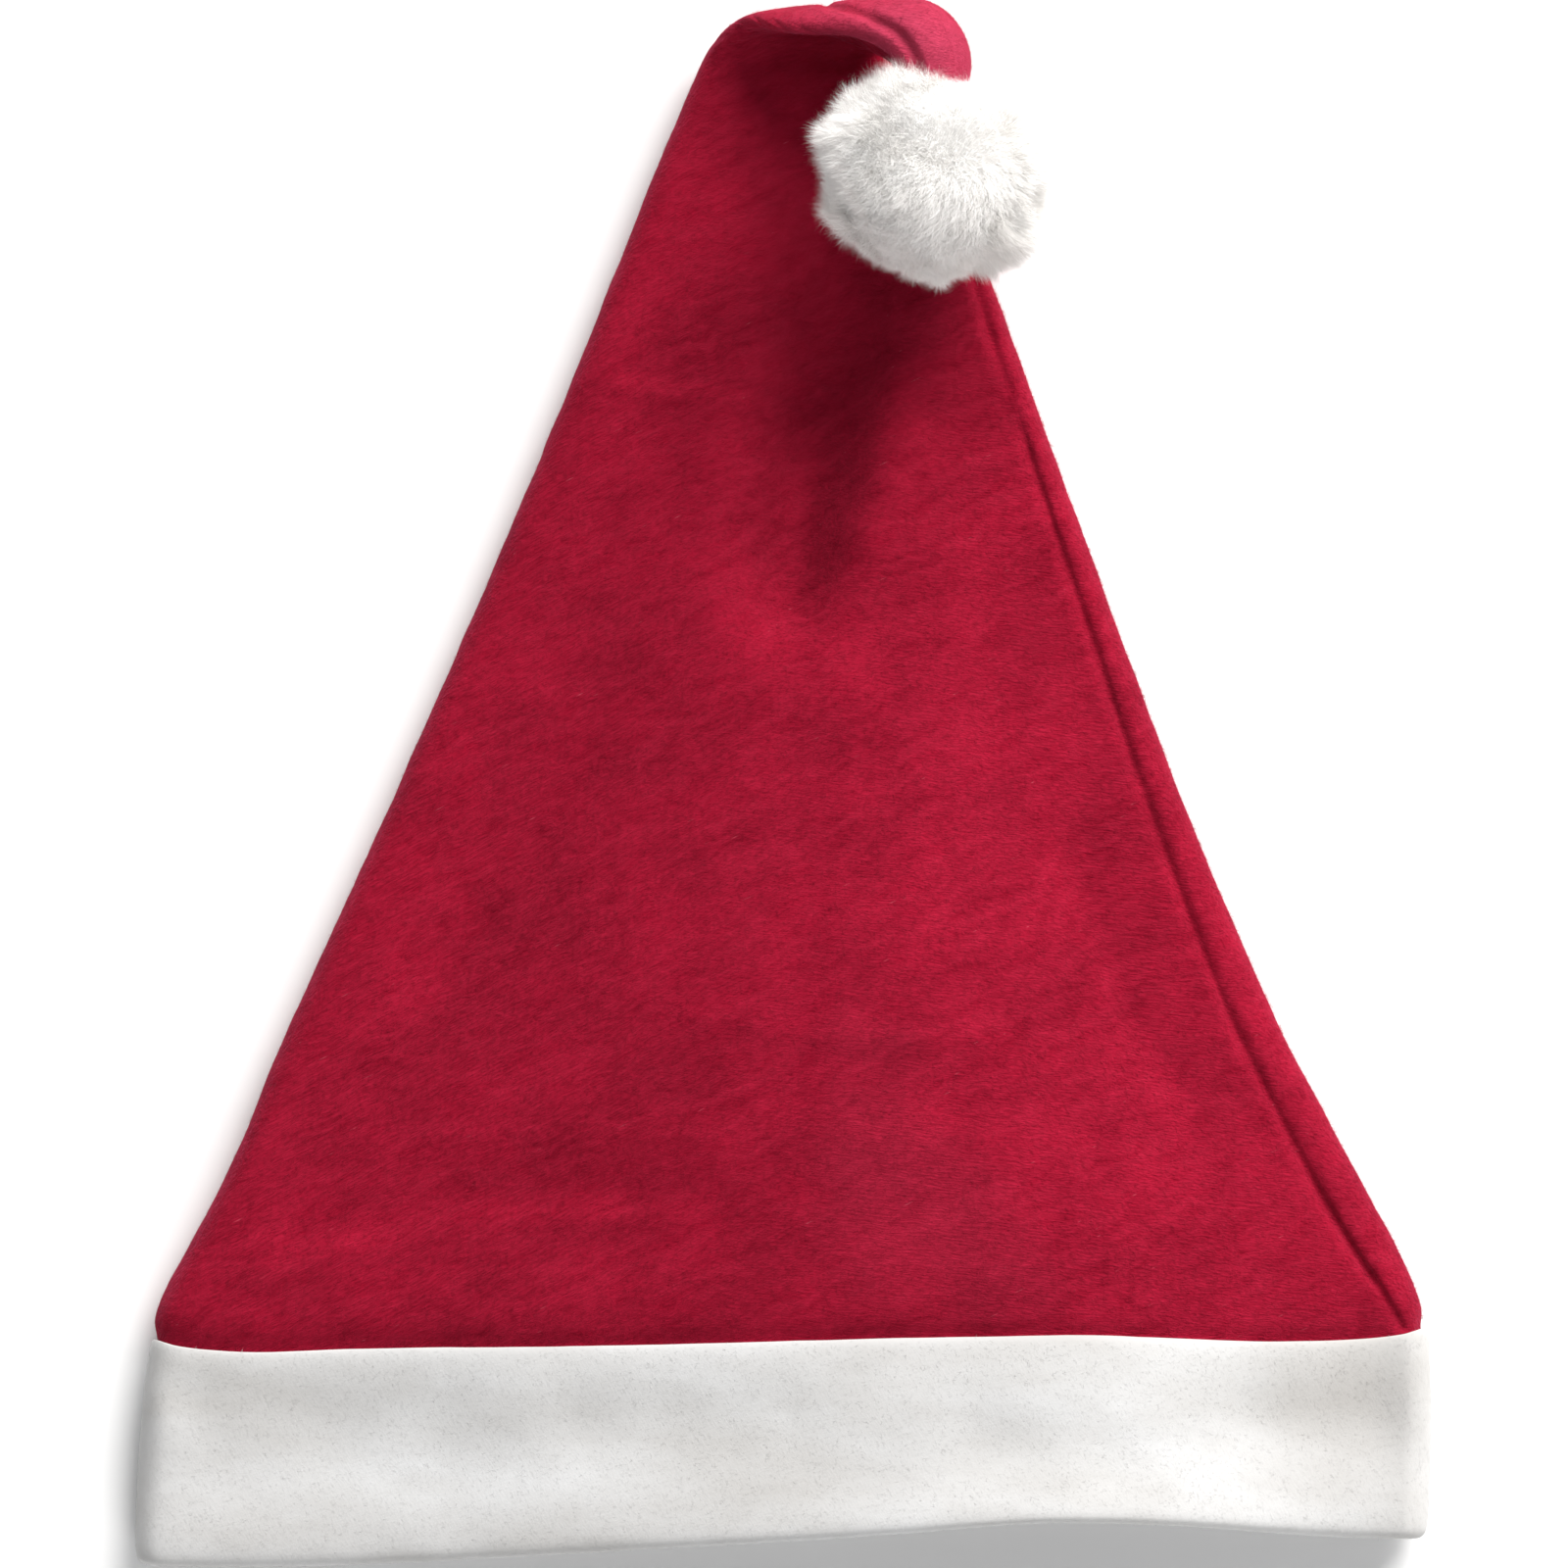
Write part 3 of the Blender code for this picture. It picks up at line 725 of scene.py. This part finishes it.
def strands(root, out, reach_from, reach_to, lying):
    """The middle and the tip of each strand. It reaches out to a share of the pompom's radius,
    and its end lies over by up to the length given."""
    count = len(root)
    tuft = np.argmax(out @ TUFT_WAY.T, axis=1)
    together = draws.uniform(*STICKING, count)
    aim = unit(out * (1 - together)[:, None] + TUFT_WAY[tuft] * together[:, None])
    freed = smooth(0.1, 0.8, out @ FREE_SIDE) * level_share(out)
    stands = 1 + (TUFT_REACH[tuft] - 1) * (0.2 + 0.8 * level_share(out))
    reach = POMPOM_RADIUS * outline_share(out) * stands
    reach *= draws.uniform(reach_from, reach_to, count) + FREE_EXTRA * freed * draws.random(count)
    flow = np.column_stack([ripple(out, 0.7, seed) for seed in (11, 12, 13)]) * 2.5
    flow += draws.normal(0, 0.9, (count, 3))
    flow = unit(flow - out * (flow * out).sum(axis=1)[:, None])
    lie = lying * draws.uniform(0.3, 1, count) * (1 - 0.75 * freed)
    start = np.linalg.norm(root - POMPOM_CENTRE, axis=1)
    middle = POMPOM_CENTRE + aim * (0.35 * start + 0.65 * reach)[:, None] + flow * (0.25 * lie)[:, None]
    tip = POMPOM_CENTRE + unit(aim * reach[:, None] + flow * lie[:, None]) * reach[:, None]
    for part in (middle, tip):
        part[:, 2] = np.maximum(part[:, 2], POMPOM_REST + draws.uniform(0, 0.8, count) * MM)
    return middle, tip


def fur(name, count, reach_from, reach_to, lying, widest):
    """One joined mesh of strands, without those that would meet the crown."""
    root = spread_over(pompom_ball.data, count, on_outer_ball)[0]
    out = unit(root - POMPOM_CENTRE)
    middle, tip = strands(root, out, reach_from, reach_to, lying)
    good = in_the_clear(root, tip)
    root, middle, tip, out = root[good], middle[good], tip[good], out[good]
    side = unit(np.cross(tip - middle, out)) * (draws.uniform(0.5, 1, len(root)) * widest / 2)[:, None]
    base = root - out * 0.5 * MM
    points = np.stack([base + side, base - side, middle + side, middle - side, tip], axis=1)
    first = 5 * np.arange(len(root))[:, None]
    faces = np.concatenate([first + [0, 1, 3], first + [0, 3, 2], first + [2, 3, 4]])
    print(name, len(root), "strands in", TUFTS, "tufts")
    return show(name, mesh_of(name, points.reshape(-1, 3), faces))


pompom_fur = fur(
    "pompom_fur", 60000, reach_from=0.9, reach_to=0.985, lying=5.0 * MM, widest=0.09 * MM
)
pompom_guard_hair = fur(
    "pompom_guard_hair", 62000, reach_from=0.93, reach_to=1.03, lying=4.5 * MM, widest=0.05 * MM
)

# %% [markdown]
# ## Helpers for nodes
#
# Plush, felt and fur share what makes them look brushed: fibres lying in a direction, patches
# where the pile is lighter or darker, and a few fibres that catch the light. Each is a node group
# with named inputs, so every material can use it at its own scale. All work from places in space,
# because a brushed cloth has no grid to follow. These helpers keep the groups short to write.

# %% Helpers for nodes
def node(tree, kind, inputs=None, **settings):
    """One node with its settings, its plain values and its links made in one go."""
    made = tree.nodes.new("ShaderNode" + kind)
    for key, value in settings.items():
        setattr(made, key, value)
    for key, value in (inputs or {}).items():
        if isinstance(value, bpy.types.NodeSocket):
            tree.links.new(value, made.inputs[key])
        else:
            made.inputs[key].default_value = value
    return made


def group(name, inputs, output):
    """An empty shader group with a vector input, named number inputs, and one number output."""
    tree = bpy.data.node_groups.new(name, "ShaderNodeTree")
    tree.interface.new_socket("Vector", in_out="INPUT", socket_type="NodeSocketVector")
    for key, value in inputs.items():
        socket = tree.interface.new_socket(key, in_out="INPUT", socket_type="NodeSocketFloat")
        socket.default_value = value
    tree.interface.new_socket(output, in_out="OUTPUT", socket_type="NodeSocketFloat")
    given = tree.nodes.new("NodeGroupInput")
    result = tree.nodes.new("NodeGroupOutput")
    return tree, given.outputs, result.inputs[output]


def sized(tree, vector, along, across, angle):
    """Coordinates turned by an angle and measured in fibre lengths and fibre widths."""
    turned = node(tree, "VectorRotate", {"Vector": vector, "Angle": angle}, rotation_type="Z_AXIS")
    size = node(tree, "CombineXYZ", {0: along, 1: across, 2: across})
    return node(tree, "VectorMath", {0: turned.outputs[0], 1: size.outputs[0]}, operation="DIVIDE").outputs[0]


def sockets_of(tree):
    return [socket.name for socket in tree.interface.items_tree]


print("helpers:", node.__name__, group.__name__, sized.__name__)

# %% [markdown]
# ## Fibres lying in a direction
#
# Seen close, brushed pile is thin streaks, a few millimetres long and a fraction of one wide. An
# image could show them but would repeat. Here they are noise that is stretched along the nap. The
# places are first pushed about a little by a slower noise, so that no streak is quite straight.

# %% Fibres lying in a direction
def lying_fibres():
    tree, given, result = group(
        "lying_fibres", {"Angle": 0.0, "Length": 0.003, "Width": 0.0004, "Wander": 0.0012}, "Fibres"
    )
    drift = node(tree, "TexNoise", {"Vector": given["Vector"], "Scale": 130.0, "Detail": 1.0})
    centred = node(tree, "VectorMath", {0: drift.outputs["Color"], 1: (0.5, 0.5, 0.5)}, operation="SUBTRACT")
    pushed = node(
        tree, "VectorMath", {0: centred.outputs[0], "Scale": given["Wander"]}, operation="SCALE"
    )
    place = node(tree, "VectorMath", {0: given["Vector"], 1: pushed.outputs[0]}, operation="ADD")
    fine = sized(tree, place.outputs[0], given["Length"], given["Width"], given["Angle"])
    grain = node(tree, "TexNoise", {"Vector": fine, "Scale": 1.0, "Detail": 3.0, "Roughness": 0.62})
    spread = node(tree, "MapRange", {"Value": grain.outputs["Fac"], "From Min": 0.28, "From Max": 0.72})
    tree.links.new(spread.outputs[0], result)
    return tree


LYING_FIBRES = lying_fibres()
print("group", LYING_FIBRES.name, "with sockets", sockets_of(LYING_FIBRES))

# %% [markdown]
# ## Patches of lighter and darker pile
#
# Where a touch or a fold has turned the pile, the cloth looks darker or lighter in soft patches.
# This is the same dye seen from another side, so it is a wide noise that picks between two tones
# of one colour, and its contrast says how strongly.

# %% Patches of lighter and darker pile
def pile_patches():
    tree, given, result = group("pile_patches", {"Size": 0.012, "Contrast": 1.0}, "Patches")
    scale = node(tree, "Math", {0: 1.0, 1: given["Size"]}, operation="DIVIDE")
    cloud = node(
        tree, "TexNoise",
        {"Vector": given["Vector"], "Scale": scale.outputs[0], "Detail": 4.0, "Roughness": 0.55},
    )
    centred = node(tree, "Math", {0: cloud.outputs["Fac"], 1: 0.5}, operation="SUBTRACT")
    strong = node(tree, "Math", {0: centred.outputs[0], 1: given["Contrast"]}, operation="MULTIPLY")
    back = node(tree, "Math", {0: strong.outputs[0], 1: 0.5}, operation="ADD", use_clamp=True)
    tree.links.new(back.outputs[0], result)
    return tree


PILE_PATCHES = pile_patches()
print("group", PILE_PATCHES.name, "with sockets", sockets_of(PILE_PATCHES))

# %% [markdown]
# ## Single fibres that catch the light
#
# A few loose fibres lie across the others and shine. Stretched cells of a Voronoi texture give
# each such fibre a place of its own, and the share of cells that are lit says how many there are.

# %% Single fibres that catch the light
def bright_fibres():
    tree, given, result = group(
        "bright_fibres", {"Angle": 0.0, "Length": 0.004, "Width": 0.0003, "Amount": 0.1}, "Bright"
    )
    fine = sized(tree, given["Vector"], given["Length"], given["Width"], given["Angle"])
    cells = node(tree, "TexVoronoi", {"Vector": fine, "Scale": 1.0}, feature="F1")
    chosen = node(tree, "SeparateColor", {"Color": cells.outputs["Color"]})
    here = node(tree, "Math", {0: chosen.outputs[0], 1: given["Amount"]}, operation="LESS_THAN")
    near = node(
        tree, "MapRange",
        {"Value": cells.outputs["Distance"], "From Min": 0.1, "From Max": 0.45, "To Min": 1.0, "To Max": 0.0},
    )
    both = node(tree, "Math", {0: here.outputs[0], 1: near.outputs[0]}, operation="MULTIPLY")
    tree.links.new(both.outputs[0], result)
    return tree


BRIGHT_FIBRES = bright_fibres()
print("group", BRIGHT_FIBRES.name, "with sockets", sockets_of(BRIGHT_FIBRES))

# %% [markdown]
# ## Helpers for materials
#
# All three finishes are rough cloth with sheen: light that grazes the pile makes it paler. The
# colour goes from a deep tone in the pile's gaps to a lighter one on its fibres, patches shift it
# over wider areas, and a bump from the same fibres gives the fine grain.

# %% Helpers for materials
WHITE = (1.0, 1.0, 1.0)


def new_material(name, sheen, sheen_roughness, tint, specular=0.15):
    made = bpy.data.materials.new(name)
    made.use_nodes = True
    tree = made.node_tree
    shader = tree.nodes["Principled BSDF"]
    shader.inputs["Sheen Weight"].default_value = sheen
    shader.inputs["Sheen Roughness"].default_value = sheen_roughness
    shader.inputs["Sheen Tint"].default_value = (*tint, 1)
    shader.inputs["Specular IOR Level"].default_value = specular
    where = node(tree, "TexCoord").outputs["Object"]
    return made, tree, shader, where


def grouped(tree, which, vector, **values):
    """One of the groups above, placed in a material with its own values."""
    made = tree.nodes.new("ShaderNodeGroup")
    made.node_tree = which
    tree.links.new(vector, made.inputs["Vector"])
    for key, value in values.items():
        made.inputs[key].default_value = value
    return made.outputs[0]


def blended(tree, share, one, other):
    """A colour between two colours, which may be plain or linked."""
    made = tree.nodes.new("ShaderNodeMix")
    made.data_type = "RGBA"
    for socket, value in ((made.inputs[0], share), (made.inputs[6], one), (made.inputs[7], other)):
        if isinstance(value, bpy.types.NodeSocket):
            tree.links.new(value, socket)
        elif socket.type == "RGBA":
            socket.default_value = (*value, 1)
        else:
            socket.default_value = value
    return made.outputs[2]


def ranged(tree, value, low, high):
    """A value from 0 to 1, moved to the range from low to high."""
    return node(tree, "MapRange", {"Value": value, "To Min": low, "To Max": high}).outputs[0]


def product(tree, one, other):
    return node(tree, "Math", {0: one, 1: other}, operation="MULTIPLY").outputs[0]


def finished(tree, shader, colour, rough, height, strength, distance):
    """The last links of a material: its colour, its roughness and its bump."""
    bump = node(tree, "Bump", {"Height": height, "Strength": strength, "Distance": distance})
    tree.links.new(bump.outputs[0], shader.inputs["Normal"])
    tree.links.new(colour, shader.inputs["Base Color"])
    tree.links.new(rough, shader.inputs["Roughness"])


print("helpers:", new_material.__name__, grouped.__name__, blended.__name__, finished.__name__)

# %% [markdown]
# ## The red plush
#
# A deep red with a cold sheen. The nap lies in two flows, rising on the left and level near the
# seam, so two sets of fibres are blended across the hat. Wider brushed streaks lie over both. The
# tip stands highest and catches the window's light, so a paler, pinker tone is painted on it as its
# sheen: the share of that painted highlight grows with height. The cloth and its loose fibres use
# one recipe, and the fibres are a little lighter, as their ends are.

# %% The red plush
PLUSH_SHEEN = (1.0, 0.22, 0.42)
BRIGHT_FIBRE = (0.55, 0.12, 0.16)
# painted highlight: the paler, pinker tone laid over the tip stands for the sheen it catches
PAINTED_TIP_SHEEN = (0.53, 0.07, 0.14)


def red_plush(name, gaps, mid, light, bump):
    """Two flows of fibres, one on the left and one near the seam, blended across the hat."""
    made, tree, shader, where = new_material(
        name, sheen=0.22, sheen_roughness=0.4, tint=PLUSH_SHEEN, specular=0.05
    )
    streak = {"Length": 0.0038, "Width": 0.00048}
    rising = grouped(tree, LYING_FIBRES, where, Angle=math.radians(-31), **streak)
    level = grouped(tree, LYING_FIBRES, where, Angle=math.radians(5), **streak)
    wide_streak = {"Length": 0.015, "Width": 0.0024, "Wander": 0.006}
    brushed = grouped(tree, LYING_FIBRES, where, Angle=math.radians(-22), **wide_streak)
    axes = node(tree, "SeparateXYZ", {0: where})
    side = node(tree, "MapRange", {"Value": axes.outputs[0], "From Min": -0.06, "From Max": 0.08})
    fibres = node(tree, "Mix", {0: side.outputs[0], 2: rising, 3: level}).outputs[0]
    # painted highlight: the higher the cloth, the more of the pinker tip tone, for the tip's sheen
    tip_sheen_mask = node(tree, "MapRange", {"Value": axes.outputs[2], "From Min": 0.026, "From Max": 0.05})
    patches = grouped(tree, PILE_PATCHES, where, Size=0.019, Contrast=4.0)
    specks = grouped(tree, PILE_PATCHES, where, Size=0.0045, Contrast=2.6)
    loose = {"Length": 0.0036, "Width": 0.0003, "Amount": 0.003}
    bright = grouped(tree, BRIGHT_FIBRES, where, Angle=math.radians(-25), **loose)
    base = blended(tree, patches, gaps, mid)
    for mask, strength, tone in (
        (specks, 0.35, gaps),
        (brushed, 0.5, light),
        (fibres, 0.4, light),
        (bright, 0.4, BRIGHT_FIBRE),
        (tip_sheen_mask.outputs[0], 0.7, PAINTED_TIP_SHEEN),
    ):
        base = blended(tree, product(tree, mask, strength), base, tone)
    finished(tree, shader, base, ranged(tree, patches, 0.95, 0.8), fibres, strength=bump, distance=0.0005)
    return made


RED_CLOTH = red_plush(
    "red_plush_cloth",
    gaps=(0.155, 0.0008, 0.009), mid=(0.265, 0.0016, 0.0165), light=(0.40, 0.012, 0.040), bump=0.6,
)
RED_NAP = red_plush(
    "red_plush_nap",
    gaps=(0.17, 0.0012, 0.011), mid=(0.29, 0.0026, 0.020), light=(0.44, 0.019, 0.050), bump=0.15,
)
print("materials", RED_CLOTH.name, RED_NAP.name)

# %% [markdown]
# ## The white felt
#
# Matted wool-like fibres have no direction, so two sets of streaks cross. The felt isn't evenly
# white: it is warmer and greyer in patches that are drawn out along the band, and one place near
# its right end, in a dent, is a darker beige. A soft spot round one point in space gives that place.

# %% The white felt
# a darker beige spot round one point near the band's right end, in a dent
DARK_BEIGE_PLACE = (*spot(1375, 1415), 0.014)
DARK_BEIGE_TONE = (0.40, 0.38, 0.355)
FELT_FIBRE = (0.62, 0.62, 0.61)


def white_felt(name, gaps, light, bump):
    made, tree, shader, where = new_material(name, sheen=0.15, sheen_roughness=0.5, tint=WHITE)
    one = grouped(tree, LYING_FIBRES, where, Angle=math.radians(-20), Length=0.0022, Width=0.0005)
    other = grouped(tree, LYING_FIBRES, where, Angle=math.radians(58), Length=0.002, Width=0.0005)
    fibres = node(tree, "Mix", {0: 0.5, 2: one, 3: other}).outputs[0]
    drawn_out = sized(tree, where, 3.0, 1.0, 0.0)
    patches = grouped(tree, PILE_PATCHES, drawn_out, Size=0.018, Contrast=2.4)
    specks = grouped(tree, PILE_PATCHES, where, Size=0.005, Contrast=2.0)
    # the darker beige spot near the band's right end
    away = node(tree, "VectorMath", {0: where, 1: DARK_BEIGE_PLACE}, operation="DISTANCE").outputs["Value"]
    dark_beige_share = node(tree, "MapRange", {"Value": away, "From Min": 0.03, "From Max": 0.003}).outputs[0]
    base = blended(tree, patches, gaps, light)
    for mask, strength, tone in (
        (specks, 0.25, gaps),
        (fibres, 0.05, FELT_FIBRE),
        (dark_beige_share, 0.6, DARK_BEIGE_TONE),
    ):
        base = blended(tree, product(tree, mask, strength), base, tone)
    finished(tree, shader, base, ranged(tree, patches, 0.97, 0.88), fibres, strength=bump, distance=0.0005)
    return made


FELT_CLOTH = white_felt("white_felt_cloth", gaps=(0.45, 0.442, 0.43), light=(0.575, 0.578, 0.58), bump=0.1)
FELT_NAP = white_felt("white_felt_nap", gaps=(0.46, 0.453, 0.44), light=(0.59, 0.593, 0.595), bump=0.05)
print("materials", FELT_CLOTH.name, FELT_NAP.name)

# %% [markdown]
# ## The white fur
#
# White pile is bright because light bounces from strand to strand. A renderer that follows those
# bounces shows it by itself, so the strands only need a very pale, faintly warm white. The ball
# below them is a little deeper, as the inside of the fur is.

# %% The white fur
def white_fur(name, deep, light, bump):
    made, tree, shader, where = new_material(name, sheen=0.2, sheen_roughness=0.4, tint=WHITE)
    patches = grouped(tree, PILE_PATCHES, where, Size=0.009, Contrast=2.0)
    fibres = grouped(tree, LYING_FIBRES, where, Angle=0.4, Length=0.002, Width=0.0003)
    base = blended(tree, patches, deep, light)
    finished(tree, shader, base, ranged(tree, patches, 0.85, 0.65), fibres, strength=bump, distance=0.0003)
    return made


FUR_STRANDS = white_fur("white_fur_strands", deep=(0.95, 0.93, 0.905), light=(0.968, 0.96, 0.945), bump=0.05)
FUR_BALL = white_fur("white_fur_ball", deep=(0.90, 0.87, 0.84), light=(0.95, 0.94, 0.92), bump=0.2)
print("materials", FUR_STRANDS.name, FUR_BALL.name)

# %% [markdown]
# ## What each piece is
#
# Every piece gets its finish and rides on the hat's only body, and the three solids are hidden.
# The crown and the band are sheets of cloth. Both go all the way round the head, 58 cm. The
# crown's cloth is as long as its cone, over the fold to the tip, and is cut to a point. The band's
# strip is folded lengthwise in two.

DRESSED = (
    (crown_cloth, RED_CLOTH, "red_plush"),
    (crown_nap_left, RED_NAP, "red_plush"),
    (crown_nap_right, RED_NAP, "red_plush"),
    (band_cloth, FELT_CLOTH, "white_felt"),
    (band_nap_piece, FELT_NAP, "white_felt"),
    (pompom_ball, FUR_BALL, "white_fur"),
    (pompom_fur, FUR_STRANDS, "white_fur"),
    (pompom_guard_hair, FUR_STRANDS, "white_fur"),
)
for piece, finish, slot_name in DRESSED:
    piece.data.materials.clear()
    piece.data.materials.append(finish)
    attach(piece, "root")

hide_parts("crown")
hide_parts("band")
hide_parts("pompom")
for piece, finish, slot_name in DRESSED:
    piece.data.calc_loop_triangles()
    print(piece.name, len(piece.data.loop_triangles), "triangles of", slot_name)

# %% [markdown]
# ## The floor
#
# The hat lies on plain pale paper. It is a plane 40 m wide, so its edges are never seen, and its
# colour wanders by a hair, so it isn't a flat tone. It lies a little below the cloth, which stops
# the two from flickering through each other.

# %% The floor
FLOOR_REACH = 20  # metres from its middle to an edge
FLOOR_GAP = 0.3 * MM


def studio_floor():
    shape = bmesh.new()
    bmesh.ops.create_grid(shape, x_segments=1, y_segments=1, size=FLOOR_REACH)
    mesh = bpy.data.meshes.new("floor")
    shape.to_mesh(mesh)
    shape.free()
    floor = show("floor", mesh)
    floor.location.z = -FLOOR_GAP
    made = bpy.data.materials.new("pale_floor")
    made.use_nodes = True
    tree = made.node_tree
    shader = tree.nodes["Principled BSDF"]
    shader.inputs["Roughness"].default_value = 0.9
    shader.inputs["Specular IOR Level"].default_value = 0.1
    where = node(tree, "TexCoord").outputs["Object"]
    paper = node(tree, "TexNoise", {"Vector": where, "Scale": 6.0})
    tint = blended(tree, paper.outputs["Fac"], (0.93, 0.93, 0.93), (0.95, 0.95, 0.945))
    tree.links.new(tint, shader.inputs["Base Color"])
    mesh.materials.append(made)
    return floor


print("floor", round(studio_floor().dimensions.x), "m wide")

# %% [markdown]
# ## The light
#
# Daylight from a wide window at the upper right, so the tip and the pompom throw a soft shadow
# down and to the left. It comes in low, which draws out the folds and the pile. A weaker light
# from the lower right and the pale surroundings keep the shadows open. Sun lights reach the whole
# hat evenly, and their angle says how wide the window looks, and so how soft the shadows are.

# %% The light
def sunlight(name, azimuth, elevation, strength, spread, colour):
    """A distant light. azimuth turns from +Y to the right; spread is how wide it looks."""
    light = bpy.data.lights.new(name, "SUN")
    light.energy, light.angle, light.color = strength, math.radians(spread), colour
    lamp = bpy.data.objects.new(name, light)
    bpy.context.scene.collection.objects.link(lamp)
    turn, rise = math.radians(azimuth), math.radians(elevation)
    toward = Vector((math.sin(turn) * math.cos(rise), math.cos(turn) * math.cos(rise), math.sin(rise)))
    lamp.rotation_mode = "QUATERNION"
    lamp.rotation_quaternion = toward.to_track_quat("Z", "Y")


sunlight("window", azimuth=28, elevation=27, strength=6.5, spread=46, colour=(1.0, 0.985, 0.97))
sunlight("fill", azimuth=158, elevation=20, strength=1.3, spread=50, colour=(0.99, 0.98, 0.97))

world = bpy.data.worlds.new("studio")
world.use_nodes = True
surroundings = world.node_tree.nodes["Background"]
surroundings.inputs["Color"].default_value = (0.97, 0.98, 1.0, 1)
surroundings.inputs["Strength"].default_value = 0.37
bpy.context.scene.world = world
bpy.context.scene.view_settings.view_transform = "Standard"

# %% [markdown]
# ## The camera
#
# It looks straight down at the hat. From close by, the pompom would look too large, because it
# stands nearest. From 4 m with a long lens, what is high and what is low keep their proportions.
# The lens follows from the height and from how wide the picture is.

# %% The camera
CAMERA_HEIGHT = 4.0
SENSOR_MM = 36
lens = bpy.data.cameras.new("camera")
lens.sensor_width = SENSOR_MM
lens.lens = SENSOR_MM * CAMERA_HEIGHT / (PICTURE_STEPS * STEP)
lens.clip_end = 20
camera = bpy.data.objects.new("camera", lens)
bpy.context.scene.collection.objects.link(camera)
camera.location = (*spot(800, 800), CAMERA_HEIGHT)
bpy.context.scene.camera = camera
print("lens", round(lens.lens), "mm at", CAMERA_HEIGHT, "m")
